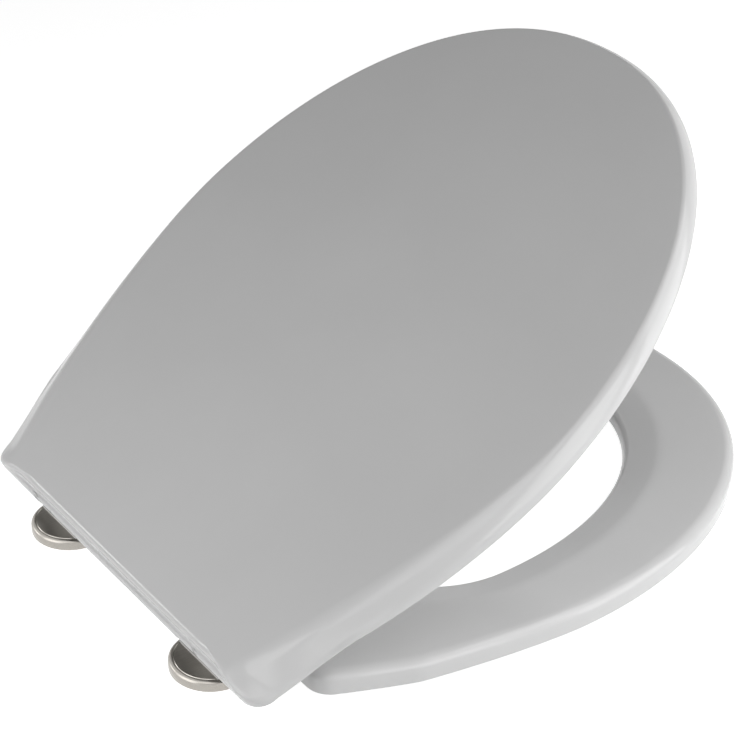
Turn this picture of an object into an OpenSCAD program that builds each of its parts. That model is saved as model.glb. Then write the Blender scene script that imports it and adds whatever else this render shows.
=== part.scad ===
// Toilet seat: a lid that wraps over an open-bottomed ring, both on two round stainless hinge bases.
// Millimetres. X runs along the hinge axis, +Y points to the front edge and +Z up from the ceramic.
// The origin lies on the ceramic, midway between the two fixing holes.

/* [Lid] */
// Overall width of the lid
lid_w = 376; // [330:1:440]
// Hinge axis to the front edge of the lid
lid_front = 414.5; // [360:0.5:480]
// Hinge axis back to the rear edge of the lid
lid_rear = 16.5; // [15.5:0.1:18]
// Hinge axis to the line where the lid is widest
lid_widest = 184.3; // [150:0.1:220]
// Width across the rear corners of the lid
lid_rear_w = 300; // [296:1:330]
// Radius of the rear corners in plan
lid_corner_r = 14; // [10:0.5:18]
// How sharply the sides draw in towards the rear
side_power = 1.545; // [1.2:0.005:2.2]
// Squareness of the front arc across the seat
front_power_x = 2.134; // [1.9:0.002:2.6]
// Squareness of the front arc along the seat
front_power_y = 2.05; // [1.9:0.01:2.6]
// Gap between the underside of the closed lid's front edge and the top of the ring
panel_over_ring = 1.5; // [1:0.1:4]
// Height of the flat panel over the barrels at the rear edge
panel_over_barrel = 5.5; // [5:0.1:9]
// Thickness of the flat panel
panel_t = 4.5; // [3:0.1:4.6]
// Thickness of the wrap-over wall
lid_wall = 2.6; // [2:0.1:2.8]
// Width of the soft shoulder where it has narrowed to a rounded edge
shoulder_front = 4.5; // [4:0.5:12]
// Width of the soft shoulder at the rear corners
shoulder_rear = 36; // [20:0.5:42]
// Distance in front of the hinge axis where the shoulder has narrowed
shoulder_end_y = 200; // [120:5:300]
// Drop from the panel to the crease between shoulder and wall, front half
crease_front_drop = 5; // [2:0.1:6]
// Drop from the panel to the crease at the rear corners
crease_rear_drop = 9.4; // [7:0.1:10]
// Inset of the crease from the outline at the front
crease_front_in = 3.5; // [1:0.1:5]
// Inset of the crease from the outline at the rear corners
crease_rear_in = 7; // [6:0.1:10]
// Height of the lower edge of the lid, front half
rim_front_z = 18.5; // [17:0.1:21]
// Height of the lower edge of the lid over the hinge axis at the rear corners
rim_rear_rise = 1.6; // [0.5:0.1:2.5]
// Inset of the lower edge from the outline at the rear corners
rim_rear_in = 5.7; // [4:0.1:6]
// Dip of the lower edge from its highest place to the rear corner
corner_dip = 3; // [0:0.1:3]
// Distance in front of the hinge at which the lower edge starts to rise
rim_rise_y = 170.4; // [120:0.1:220]
// Distance in front of the hinge at which the lower edge is highest
rim_high_y = 45; // [38:1:60]
// Height of the lower edge of the rear wall over the hinge axis, between the hinges
rear_wall_rise = 3.3; // [2:0.1:4]
// Height of the lower edge of the rear wall over the hinge axis, outside the hinges
knuckle_rise = 0.5; // [-0.5:0.1:3]
// Rounding along the top of the rear edge
rear_round = 7; // [5:0.1:8]
// Angle at which the lid stands open
lid_open = 35; // [0:1:95]

/* [Ring] */
// Gap between the lid wall and the ring wall
wrap_gap = 0.8; // [0.5:0.1:2]
// Height of the lower edge of the ring
ring_bottom_z = 11.3; // [9:0.1:13]
// Height of the ridge on top of the ring
ring_top_z = 26; // [24:0.1:26.4]
// Width of the rounding along the outer edge of the ring
ring_round_w = 8; // [6:0.5:10]
// Height of that rounding
ring_round_h = 6; // [4:0.1:7]
// Width of the ring at the sides
band_side = 60; // [50:0.5:70]
// Width of the ring at the front
band_front = 70; // [55:0.5:90]
// Rear edge of the ring, in front of the hinge axis
ring_rear_y = 24.5; // [24:0.1:34]
// Gap between a cover disc and the ring's rear edge, which steps forward round it
scallop_clear = 13; // [12:0.1:20]
// Hinge axis to the rear end of the hole
hole_rear_y = 77; // [70:0.5:100]
// How far behind the middle of its length the hole is widest
hole_shift = 40; // [20:1:60]
// Squareness of the hole
hole_power = 2.05; // [1.9:0.01:2.6]
// Radius of the rear corners of the ring in plan
ring_corner_r = 16; // [12:0.5:20]
// Distance in front of the hinge at which the ring's sides start to draw in
ring_draw_y = 80; // [60:1:100]
// How far the ring's sides draw in at its rear corners
ring_draw_in = 10; // [0:0.5:12]
// Thickness of the top of the ring
ring_t = 4.6; // [3.5:0.1:5]
// Thickness of the ring's walls
ring_wall = 3.4; // [2.5:0.1:4]
// Thickness of the ribs under the ring
rib_t = 2.4; // [1.5:0.1:4]
// How far the ribs stay above the lower edge of the ring
rib_lift = 3; // [1:0.1:6]
// Width of the slope that falls to the hole
slope_w = 23; // [15:0.5:28]
// Drop of that slope
slope_drop = 4.4; // [2:0.1:5]
// Width of the rounding at the edge of the hole
lip_w = 6.5; // [4:0.5:8]
// Height of the rounding at the edge of the hole
lip_h = 7.5; // [4:0.5:8]

/* [Hinges] */
// Distance between the two fixings
fixing_spacing = 160; // [140:1:170]
// Height of the hinge axis over the ceramic
axis_z = 26; // [26:0.1:28]
// Diameter of a stainless cover disc
disc_d = 49; // [44:0.5:50]
// Height of a cover disc over the ceramic
disc_h = 7; // [6:0.1:7.2]
// Edge rounding of a cover disc
disc_round = 2.4; // [1:0.1:3]
// Sheet thickness of a cover disc
disc_sheet = 1; // [0.6:0.1:1.5]
// Diameter of the hinge pin
pin_d = 8; // [6:0.5:9]
// Diameter of the barrels round the pin
barrel_d = 17; // [15:0.5:17.5]
// Width of the pillar along the hinge axis
pillar_w = 16; // [12:0.5:18]
// Thickness of the pillar from front to back
pillar_t = 10; // [9.6:0.1:10.4]
// Width of the pillar's foot plate, which runs right across the cover disc
foot_w = 17.4; // [16:0.1:18]
// Thickness of the foot plate
foot_t = 0.8; // [0.5:0.05:0.9]
// Tapped hole for the fixing bolt, its core diameter
fixing_core_d = 6.8; // [5:0.1:7]
// Depth of the tapped hole
fixing_depth = 15; // [10:0.5:17]
// Length of a ring lug along the axis
ring_lug_l = 18; // [14:0.5:20]
// Length of a lid lug along the axis
lid_lug_l = 24; // [16:0.5:28]
// How far the ring lugs stay inside the steps round the hinge bases
ring_lug_inset = 3.8; // [2:0.1:10]
// How far the lid lugs stay inside the rear corners
lid_lug_inset = 17.7; // [17:0.1:24]
// Side clearance between neighbours on the pin
side_gap = 0.5; // [0.3:0.1:1]
// Radial clearance of a turning fit
running_gap = 0.05; // [0.02:0.01:0.1]
// Radial clearance of a fixed fit
fixed_gap = 0.03; // [0.01:0.01:0.05]

/* [Buffers] */
// Length of a ring buffer
buffer_l = 34; // [24:1:44]
// Width of a ring buffer
buffer_w = 13; // [10:0.5:18]
// Diameter of a lid buffer
pad_d = 14; // [10:0.5:18]
// Distance of the front buffers behind the front edge
buffer_front_in = 95.5; // [80:0.5:160]
// Distance of the rear buffers in front of the hinge axis
buffer_rear_y = 112; // [90:1:140]
// Diameter of the peg on a ring buffer
peg_d = 6; // [4:0.5:7]
// Length of that peg
peg_h = 6; // [4:0.5:8]
// Diameter of the boss that takes the peg
boss_d = 11; // [9:0.5:14]

/* [Hidden] */
$fn = 64;

white = [0.93, 0.93, 0.93];
plastic = [0.88, 0.88, 0.87];
steel = [0.55, 0.55, 0.53];
rubber = [0.8, 0.8, 0.8];
edge_round = 0.5;

fixing_x = fixing_spacing / 2;
pin_r = pin_d / 2;
barrel_r = barrel_d / 2;
sleeve_r = barrel_r - 0.5;
bush_r = pin_r + 2;
bush_flange = 0.8;
ring_inset = lid_wall + wrap_gap;
lid_length = lid_front + lid_rear;

// Heights of the lid, closed
panel_front_z = ring_top_z + panel_over_ring + panel_t;
panel_rear_z = axis_z + barrel_r + panel_over_barrel;
panel_tilt = atan((panel_rear_z - panel_front_z) / lid_length);
rear_side_top_z = panel_rear_z - rear_round;
crease_front_z = panel_front_z - crease_front_drop;
crease_rear_z = panel_rear_z - crease_rear_drop;
rim_rear_z = axis_z + rim_rear_rise;

// How the shapes change along the lid, as powers of the share of the way
rise_power = 1.2;
shoulder_power = 1.15;
swell_power = 2.2;
rim_power = 2.1;
rim_in_power = 1.8;
ring_draw_power = 1.15;
slope_power = 1.5;
dip_from = 35;
dip_length = 45;

function clamp01(t) = min(max(t, 0), 1);
function ease(t) = let (c = clamp01(t)) c * c * (3 - 2 * c);
function mix(a, b, t) = a + (b - a) * t;
// Rises from 0 at rim_rise_y to 1 at the rear edge
function rise(y) = pow(clamp01((rim_rise_y - y) / (rim_rise_y + lid_rear)), rise_power);
function panel_z(y) = mix(panel_front_z, panel_rear_z, (lid_front - y) / lid_length);
// Half width of the lid's side at a distance y in front of the axis
function side_x(y) =
    (lid_w - (lid_w - lid_rear_w) * pow((lid_widest - y) / (lid_widest + lid_rear), side_power)) / 2;

// Half-plan stations: [zone, place]. Zone 0 is the rear edge (place: x), 1 the rear corner (angle),
// 2 the side (fraction of its length), 3 the front arc (angle)
side_steps = 9;
front_steps = 17;
corner_steps = 5;
function stations(rear_xs) = concat(
    [for (x = rear_xs) [0, x]],
    [for (k = [0 : corner_steps - 1]) [1, -90 + 90 * k / corner_steps]],
    [for (k = [0 : side_steps - 1]) [2, k / side_steps]],
    [for (k = [0 : front_steps]) [3, 90 * k / front_steps]]);

// Plan point of a station: side_in draws in the sides and front, rear_y is the rear edge there
function plan_point(st, side_in, rear_y, corner_r, rear_scale) =
    let (start_y = rear_y + corner_r,
         corner_x = side_x(start_y) - side_in - corner_r)
    st[0] == 0 ? [st[1] * rear_scale, rear_y] :
    st[0] == 1 ? [corner_x + corner_r * cos(st[1]), start_y + corner_r * sin(st[1])] :
    st[0] == 2 ? let (y = mix(start_y, lid_widest, st[1])) [side_x(y) - side_in, y] :
    [(lid_w / 2 - side_in) * pow(cos(st[1]), 2 / front_power_x),
     lid_widest + (lid_front - side_in - lid_widest) * pow(sin(st[1]), 2 / front_power_y)];

// A closed loop from a half loop that starts and ends on the middle line
function mirrored(half) = concat(half,
    [for (k = [len(half) - 2 : -1 : 1]) [-half[k][0], half[k][1], half[k][2]]]);

// Walls between successive loops of equal length, n points each; the loops run inwards and downwards
function band_faces(loops, n, closed) = [
    for (k = [0 : loops - (closed ? 1 : 2)]) for (j = [0 : n - 1])
        let (a = k * n + j, b = k * n + (j + 1) % n,
             c = ((k + 1) % loops) * n + (j + 1) % n, d = ((k + 1) % loops) * n + j)
        each [[a, b, c], [a, c, d]]];

// Solid between a top loop and a bottom loop, both flat, whose caps fan out from the front
module skin_solid(loops) {
    n = len(loops[0]);
    front = n / 2;
    last = (len(loops) - 1) * n;
    polyhedron(points = [for (loop = loops) each loop],
        faces = concat([[for (j = [n - 1 : -1 : 0]) (front + j) % n]],
                       band_faces(len(loops), n, false),
                       [[for (j = [0 : n - 1]) last + (front + j) % n]]));
}

// Solid round a hole. Its loops run up the outside, in over the top and down the hole,
// and the last joins the first
module skin_tube(loops) {
    n = len(loops[0]);
    polyhedron(points = [for (k = [len(loops) - 1 : -1 : 0]) each loops[k]],
        faces = band_faces(len(loops), n, true));
}

// Middle of the lid's rear corner arc for a loop that is inset by rear_in and side_in
function corner_middle(rear_in, side_in, corner_r) =
    side_x(rear_in + corner_r - lid_rear) - side_in - corner_r;
lid_corner_x = corner_middle(0, rim_rear_in, lid_corner_r);

// Stations along the pin, out from the middle of the seat
scallop_gap = 2;
scallop_ramp = 6;
scallop_in = fixing_x - disc_d / 2 - scallop_gap;
scallop_out = fixing_x + disc_d / 2 + scallop_gap;
pillar_in = fixing_x - pillar_w / 2;
pillar_out = fixing_x + pillar_w / 2;
ring_lug_out = scallop_in - ring_lug_inset;
ring_lug_in = ring_lug_out - ring_lug_l;
inner_sleeve_in = ring_lug_out + bush_flange + side_gap;
lid_lug_out = lid_rear_w / 2 - lid_lug_inset;
lid_lug_in = lid_lug_out - lid_lug_l;
outer_sleeve_out = lid_lug_in - bush_flange - side_gap;

// Lid. The rear wall is notched over each pillar, with a near-upright side at both ends of the notch
notch_gap = 1.5;
notch_side = 0.2;
notch_rise = 0.2;
notch_lip = 0.7;
notch_in = pillar_in - notch_gap;
notch_out = pillar_out + notch_gap;
lid_rear_xs = concat([0, notch_in / 2],
    [notch_in - notch_side, notch_in, notch_out, notch_out + notch_side],
    [for (t = [0.33, 0.67]) mix(notch_out, lid_corner_x, t)]);
lid_stations = stations(lid_rear_xs);

// Places across the shoulder, 0 at the crease and 1 at the panel: on the skin and on the underside
skin_places = [1, 0.8, 0.6, 0.42, 0.27, 0.15, 0.06];
under_places = [0.42, 0.7, 1];
// Depth of the underside below the skin at the crease, and where it meets the inner wall
under_shoulder = 3.6;
under_edge = 3.4;
under_edge_side = 0.15;
under_edge_rear = 0.35;
// Least distance over which the underside turns from the inner wall into the panel
under_round = 4.5;

function lid_base_y(st) = plan_point(st, 0, -lid_rear, lid_corner_r, 1)[1];
// Inset of the lid's lower edge and of its crease from the outline
function rim_in(y) = rim_rear_in * pow(rise(y), rim_in_power);
function crease_in(y) = mix(crease_front_in, crease_rear_in, rise(y));

// Share of the rear edge's section at a station, 1 on the rear edge and 0 on the sides
function rearness(st) = st[0] == 0 ? 1 : st[0] == 1 ? 1 - ease((st[1] + 90) / 90) : 0;
function over_pillar(st) = st[0] == 0 && abs(st[1] - fixing_x) < (notch_out - notch_in + notch_side) / 2;
function side_rim_z(y) =
    mix(rim_front_z, rim_rear_z, pow(clamp01((rim_rise_y - y) / (rim_rise_y - rim_high_y)), rim_power))
    - corner_dip * ease((dip_from - y) / dip_length);
function rim_z(st) = over_pillar(st) ? rear_side_top_z + notch_rise :
    st[0] == 0 && st[1] < notch_in ? axis_z + rear_wall_rise :
    mix(side_rim_z(lid_base_y(st)), axis_z + knuckle_rise, rearness(st));
function crease_z(st) =
    mix(mix(crease_front_z, crease_rear_z, rise(lid_base_y(st))), rear_side_top_z, rearness(st));
function shoulder_w(y) = mix(shoulder_front, shoulder_rear,
    pow(clamp01((shoulder_end_y - y) / (shoulder_end_y + lid_rear)), shoulder_power));

// Point of the lid skin: u runs from 0 at the crease to 1 at the panel, under is the depth below the skin
// and least_in its least inset from the crease, which keeps the underside clear of the inner wall
function lid_skin(st, u, under, least_in = 0) =
    let (y = lid_base_y(st),
         side_in = max(mix(crease_in(y), shoulder_w(y), u), crease_in(y) + least_in),
         rear_in = u * rear_round,
         corner_r = lid_corner_r - rear_in,
         scale = corner_middle(rear_in, side_in, corner_r) / lid_corner_x,
         p = plan_point(st, side_in, rear_in - lid_rear, corner_r, scale),
         swell = mix(1 - pow(1 - u, swell_power), sqrt(1 - pow(1 - u, 2)), rearness(st)))
    [p[0], p[1], mix(crease_z(st), panel_z(p[1]), swell) - under];

// Point of the lid wall at an inset from its lower edge
function lid_wall_point(st, inset, z) =
    let (side_in = rim_in(lid_base_y(st)) + inset,
         corner_r = lid_corner_r - inset,
         scale = corner_middle(inset, side_in, corner_r) / lid_corner_x,
         p = plan_point(st, side_in, inset - lid_rear, corner_r, scale))
    [p[0], p[1], z];

// The wall bulges: its inset grows with the square of the height v, 0 at the lower edge and 1 at the crease
function wall_in(st, v) = let (y = lid_base_y(st)) (crease_in(y) - rim_in(y)) * (1 - rearness(st)) * v * v;
function wall_top_z(st) = over_pillar(st) ? rim_z(st) + notch_lip : crease_z(st);
function wall_z(st, v) = mix(rim_z(st), wall_top_z(st), v);
// Height on the inner wall, as such a share, at which the wall meets the underside
function lid_inner_v(st) =
    let (side_z = lid_skin(st, under_edge_side, under_edge)[2],
         rear_z = lid_skin(st, under_edge_rear, under_edge)[2])
    (mix(side_z, rear_z, rearness(st)) - rim_z(st)) / (wall_top_z(st) - rim_z(st));
function lid_skin_loop(u) = mirrored([for (st = lid_stations) lid_skin(st, u, 0)]);
function lid_under_loop(u) = let (under = mix(under_shoulder, panel_t, u), least_in = lid_wall + under_round * u)
    mirrored([for (st = lid_stations) lid_skin(st, u, under, least_in)]);
function lid_wall_loop(inset, v) =
    mirrored([for (st = lid_stations) lid_wall_point(st, inset + wall_in(st, v), wall_z(st, v))]);

module lid_shell() {
    lower_edge = mirrored([for (st = lid_stations) let (height = wall_top_z(st) - rim_z(st))
        lid_wall_point(st, 0, rim_z(st) + min(edge_round, height / 3))]);
    inner_top = mirrored([for (st = lid_stations) let (v = lid_inner_v(st))
        lid_wall_point(st, lid_wall + wall_in(st, min(v, 1)), wall_z(st, v))]);
    skin_solid(concat(
        [for (u = skin_places) lid_skin_loop(u)],
        [lid_wall_loop(0, 0.88), lid_wall_loop(0, 0.5), lower_edge, lid_wall_loop(edge_round, 0)],
        [lid_wall_loop(lid_wall, 0), lid_wall_loop(lid_wall, 0.5), inner_top],
        [for (u = under_places) lid_under_loop(u)]));
}

// Turns a closed piece about the hinge axis
module on_hinge(angle) {
    translate([0, 0, axis_z]) rotate([angle, 0, 0]) translate([0, 0, -axis_z]) children();
}

// Cylinder that lies along the hinge axis, centred on its place
module lying(length, radius) {
    rotate([0, 90, 0]) cylinder(h = length, r = radius, center = true);
}

// Barrel with its web up into the panel
module lid_lug(side) {
    web_h = panel_rear_z - panel_t + web_root - axis_z;
    translate([side * (lid_lug_in + lid_lug_out) / 2, 0, axis_z]) difference() {
        union() {
            lying(lid_lug_l, barrel_r);
            translate([-lid_lug_l / 2, -barrel_r, 0]) cube([lid_lug_l, 2 * barrel_r, web_h]);
        }
        lying(lid_lug_l + 2, bush_r + fixed_gap);
    }
}
// How far a web or rib runs into the skin that it stands on
web_root = 1.5;
rib_root = 0.4;

module lid() {
    color(white) on_hinge(lid_open) union() {
        lid_shell();
        lid_lug(-1);
        lid_lug(1);
    }
}

// Ring. Its rear edge steps forward round each hinge base
ring_scallop_y = disc_d / 2 + scallop_clear;
function ring_edge_y(x) =
    let (inner = (x - scallop_in + scallop_ramp) / scallop_ramp,
         outer = (scallop_out + scallop_ramp - x) / scallop_ramp)
    mix(ring_rear_y, ring_scallop_y, ease(inner) * ease(outer));
hole_half_w = lid_w / 2 - ring_inset - band_side;
hole_front_y = lid_front - ring_inset - band_front;
hole_y = (hole_rear_y + hole_front_y) / 2 - hole_shift;

// Inset of the ring from the outline: it draws in towards its rear corners
function ring_in(y) = ring_inset
    + ring_draw_in * pow(clamp01((ring_draw_y - y) / (ring_draw_y - ring_rear_y)), ring_draw_power);
function ring_corner_middle(inset, corner_r) =
    let (y = ring_rear_y + inset + corner_r) side_x(y) - ring_in(y) - inset - corner_r;
ring_corner_x = ring_corner_middle(0, ring_corner_r);
ramp_places = [0, 0.25, 0.5, 0.75, 1];
ring_rear_xs = concat(
    [for (t = [0, 0.33, 0.67]) t * (scallop_in - scallop_ramp)],
    [for (t = ramp_places) scallop_in - scallop_ramp * (1 - t)], [fixing_x],
    [for (t = ramp_places) scallop_out + scallop_ramp * t],
    [(scallop_out + scallop_ramp + ring_corner_x) / 2]);
ring_stations = stations(ring_rear_xs);

// Point of the ring's plan, inset from its outer edge
function ring_plan(st, inset) =
    let (rear_y = st[0] == 0 ? ring_edge_y(st[1]) : ring_rear_y,
         corner_r = max(ring_corner_r - inset, 2),
         scale = ring_corner_middle(inset, corner_r) / ring_corner_x,
         start_in = st[0] < 2 ? ring_in(ring_rear_y + inset + corner_r) : ring_inset,
         p = plan_point(st, start_in + inset, rear_y + inset, corner_r, scale))
    st[0] == 2 ? [p[0] + ring_inset - ring_in(p[1]), p[1]] : p;

// Point of the hole's edge in the direction of a plan point, moved out by a margin
function hole_edge(p, out) =
    let (a = atan2(p[1] - hole_y, p[0]),
         half_l = (p[1] > hole_y ? hole_front_y - hole_y : hole_y - hole_rear_y) + out,
         across = pow(abs(cos(a)) / (hole_half_w + out), hole_power),
         along = pow(abs(sin(a)) / half_l, hole_power),
         r = pow(across + along, -1 / hole_power))
    [r * cos(a), hole_y + r * sin(a)];

// Loops of the ring's skin, given by their plan point and height
function outer_loop(inset, z) = mirrored([for (st = ring_stations) concat(ring_plan(st, inset), z)]);
function hole_loop(out, z) = mirrored([for (st = ring_stations) concat(hole_edge(ring_plan(st, 0), out), z)]);
// Loop between the outer rounding and the top of the slope, t from 0 to 1
function across_loop(t, z) = mirrored([for (st = ring_stations)
    let (a = ring_plan(st, ring_round_w), b = hole_edge(ring_plan(st, 0), slope_w))
    [mix(a[0], b[0], t), mix(a[1], b[1], t), z]]);

// The top is crowned: its outer edge lies a little lower than its ridge
crown = 0.5;
crown_places = [[0, 1], [0.5, 0.3], [0.85, 0]];
slope_end_z = ring_top_z - slope_drop;
channel_z = ring_top_z - ring_t;
inner_lip_z = ring_bottom_z + 0.8;
channel_round = 4;

module ring_shell() {
    side_z = ring_top_z - ring_round_h;
    side_rise = ring_round_h - crown;
    skin_tube(concat(
        [outer_loop(edge_round, ring_bottom_z), outer_loop(0, ring_bottom_z + edge_round)],
        [for (a = [0, 20, 38, 58]) outer_loop(ring_round_w * (1 - cos(a)), side_z + side_rise * sin(a))],
        [for (c = crown_places) across_loop(c[0], ring_top_z - crown * c[1])],
        [for (t = [0.22, 0.55, 0.85, 1])
            hole_loop(mix(slope_w, lip_w, t), ring_top_z - slope_drop * pow(t, slope_power))],
        [for (a = [30, 52, 75]) hole_loop(lip_w * (1 - sin(a)), slope_end_z - lip_h * (1 - cos(a)))],
        [hole_loop(0, inner_lip_z + edge_round), hole_loop(edge_round, inner_lip_z)],
        [hole_loop(ring_wall, inner_lip_z), hole_loop(ring_wall, slope_end_z - ring_t)],
        [hole_loop(slope_w, channel_z), outer_loop(ring_wall + channel_round, channel_z)],
        [outer_loop(ring_wall, channel_z - channel_round / 2), outer_loop(ring_wall, ring_bottom_z)]));
}

// Rib across the channel under the ring, from wall to wall at a station
rib_stations = [[2, 0.2], [2, 0.8], [3, 12], [3, 34], [3, 64], [3, 80]];
module rib(side, st) {
    a = ring_plan(st, ring_wall / 2);
    b = hole_edge(a, ring_wall / 2);
    foot_z = ring_bottom_z + rib_lift;
    height = channel_z + rib_root - foot_z;
    mirror([side < 0 ? 1 : 0, 0, 0]) translate([(a[0] + b[0]) / 2, (a[1] + b[1]) / 2, foot_z])
        rotate([0, 0, atan2(a[1] - b[1], a[0] - b[0])])
            translate([-norm(a - b) / 2, -rib_t / 2, 0]) cube([norm(a - b), rib_t, height]);
}

// Barrel with its neck, which runs into the rear wall of the ring
neck_drop = 1.5;
module ring_lug(side) {
    neck_l = ring_rear_y + ring_wall + 1;
    translate([side * (ring_lug_in + ring_lug_out) / 2, 0, axis_z]) difference() {
        union() {
            lying(ring_lug_l, barrel_r);
            translate([-ring_lug_l / 2, 0, -barrel_r]) cube([ring_lug_l, neck_l, barrel_r - neck_drop]);
        }
        lying(ring_lug_l + 2, bush_r + fixed_gap);
    }
}

// Half width of the ring at a distance y in front of the axis
function ring_side_x(y) =
    let (arc_l = lid_front - ring_inset - lid_widest,
         along = pow(clamp01((y - lid_widest) / arc_l), front_power_y))
    y < lid_widest ? side_x(y) - ring_in(y) : (lid_w / 2 - ring_inset) * pow(1 - along, 1 / front_power_x);
// Place of a buffer on the ring: middle of the band, turned along it
function band_middle(y) =
    let (a = [ring_side_x(y), y], b = hole_edge(a, 0)) [(a[0] + b[0]) / 2, (a[1] + b[1]) / 2];
function band_turn(y) = let (p = band_middle(y - 8), q = band_middle(y + 8)) atan2(q[1] - p[1], q[0] - p[0]);

buffer_front_y = lid_front - buffer_front_in;
module on_band(side, y) {
    mirror([side < 0 ? 1 : 0, 0, 0]) translate([band_middle(y)[0], band_middle(y)[1], 0]) children();
}

peg_tip_gap = 0.5;
module ring_boss(side, y) {
    height = channel_z + rib_root - ring_bottom_z;
    on_band(side, y) translate([0, 0, ring_bottom_z]) difference() {
        cylinder(h = height, d = boss_d);
        translate([0, 0, -1]) cylinder(h = peg_h + peg_tip_gap + 1, r = peg_d / 2 + fixed_gap);
    }
}

module ring() {
    color(white) union() {
        ring_shell();
        for (side = [-1, 1]) {
            for (st = rib_stations) rib(side, st);
            ring_lug(side);
            ring_boss(side, buffer_front_y);
            ring_boss(side, buffer_rear_y);
        }
    }
}

// Rubber block under the ring, with the peg that holds it in its boss
module ring_buffer(side, y) {
    end_x = (buffer_l - buffer_w) / 2;
    color(rubber) on_band(side, y) union() {
        rotate([0, 0, band_turn(y)]) linear_extrude(ring_bottom_z) union() {
            square([2 * end_x, buffer_w], center = true);
            for (end = [-1, 1]) translate([end * end_x, 0]) circle(d = buffer_w);
        }
        translate([0, 0, ring_bottom_z - edge_round]) cylinder(h = peg_h + edge_round, d = peg_d);
    }
}

// Round pad under the lid panel that meets the top of the ring
pad_gap = 0.3;
module lid_buffer(side, y) {
    top_z = panel_z(band_middle(y)[1]) - panel_t;
    color(rubber) on_hinge(lid_open) on_band(side, y) translate([0, 0, top_z])
        rotate([-panel_tilt, 0, 0]) mirror([0, 0, 1])
            cylinder(h = top_z - ring_top_z - pad_gap, d = pad_d);
}

// Hinge. Everything but the lugs and their bushes stays on the ceramic
gasket_t = 1.2;
gasket_in = 2.5;
base_gap = 0.1;
rim_lift = 0.3;
spigot_r = 6;
spigot_gap = 0.3;
disc_flat_r = disc_d / 2 - disc_round;
module gasket(side) {
    color(rubber) translate([side * fixing_x, 0, 0]) difference() {
        cylinder(h = gasket_t, r = disc_d / 2 - gasket_in);
        translate([0, 0, -1]) cylinder(h = gasket_t + 2, r = spigot_r + 1);
    }
}

module hinge_base(side) {
    height = disc_h - disc_sheet - base_gap - gasket_t;
    color(plastic) translate([side * fixing_x, 0, gasket_t]) difference() {
        cylinder(h = height, r = disc_flat_r - base_gap);
        translate([0, 0, -1]) cylinder(h = height + 2, r = spigot_r + fixed_gap);
    }
}

// Pressed cup, open below, with a rounded edge and a hole for the pillar's spigot
module cover_disc(side) {
    color(steel) translate([side * fixing_x, 0, 0]) rotate_extrude() difference() {
        union() {
            translate([0, rim_lift]) square([disc_d / 2, disc_h - disc_round - rim_lift]);
            translate([0, rim_lift]) square([disc_flat_r, disc_h - rim_lift]);
            translate([disc_flat_r, disc_h - disc_round]) circle(disc_round);
        }
        square([disc_d / 2 - disc_sheet, disc_h - disc_round]);
        square([disc_flat_r, disc_h - disc_sheet]);
        square([spigot_r + spigot_gap, disc_h + 1]);
    }
}

// Pillar: spigot through the cover disc, foot plate on it, and the barrel that holds the pin
grub_r = 2;
module pillar(side) {
    color(plastic) translate([side * fixing_x, 0, 0]) difference() {
        union() {
            cylinder(h = disc_h, r = spigot_r);
            translate([0, 0, disc_h]) intersection() {
                translate([-disc_d / 2, -foot_w / 2, 0]) cube([disc_d, foot_w, foot_t]);
                cylinder(h = foot_t, r = disc_flat_r);
            }
            translate([-pillar_w / 2, -pillar_t / 2, disc_h]) cube([pillar_w, pillar_t, axis_z - disc_h]);
            translate([0, 0, axis_z]) lying(pillar_w, barrel_r);
        }
        translate([0, 0, -1]) cylinder(h = fixing_depth + 1, d = fixing_core_d);
        translate([0, 0, axis_z]) lying(pillar_w + 2, pin_r + fixed_gap);
        translate([0, 0, axis_z + pin_r]) cylinder(h = barrel_r, r = grub_r + fixed_gap);
    }
}

// Screw with a hexagon socket that clamps the pin from above
grub_sink = 0.4;
socket_r = 1;
socket_depth = 1.6;
module grub_screw(side) {
    length = barrel_r - pin_r - grub_sink;
    color(steel) translate([side * fixing_x, 0, axis_z + pin_r + fixed_gap]) difference() {
        cylinder(h = length, r = grub_r);
        translate([0, 0, length - socket_depth]) cylinder(h = socket_depth + 1, r = socket_r, $fn = 6);
    }
}

// Lays a piece that is modelled along Z on the hinge axis, starting at a distance from the middle
module along_axis(side, from) {
    mirror([side < 0 ? 1 : 0, 0, 0]) translate([from, 0, axis_z]) rotate([0, 90, 0]) children();
}

// Pin with a small chamfer at both ends
pin_end = 1;
pin_chamfer = 0.6;
module pin(side) {
    length = lid_lug_out - ring_lug_in + 2 * pin_end;
    tip_r = pin_r - pin_chamfer;
    profile = [[0, 0], [tip_r, 0], [pin_r, pin_chamfer],
               [pin_r, length - pin_chamfer], [tip_r, length], [0, length]];
    color(steel) along_axis(side, ring_lug_in - pin_end) rotate_extrude() polygon(profile);
}

// Spacer between the pillar and a lug
module sleeve(side, from, to) {
    color(plastic) along_axis(side, from) difference() {
        cylinder(h = to - from, r = sleeve_r);
        translate([0, 0, -1]) cylinder(h = to - from + 2, r = pin_r + fixed_gap);
    }
}

// Flanged bush in a lug's bore, its flange towards the pillar
module bush(side, from, to, flange_at_end) {
    length = to - from;
    color(plastic) along_axis(side, from) difference() {
        union() {
            cylinder(h = length, r = bush_r);
            translate([0, 0, flange_at_end ? length : -bush_flange]) cylinder(h = bush_flange, r = sleeve_r);
        }
        translate([0, 0, -bush_flange - 1])
            cylinder(h = length + 2 * bush_flange + 2, r = pin_r + running_gap);
    }
}

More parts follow.
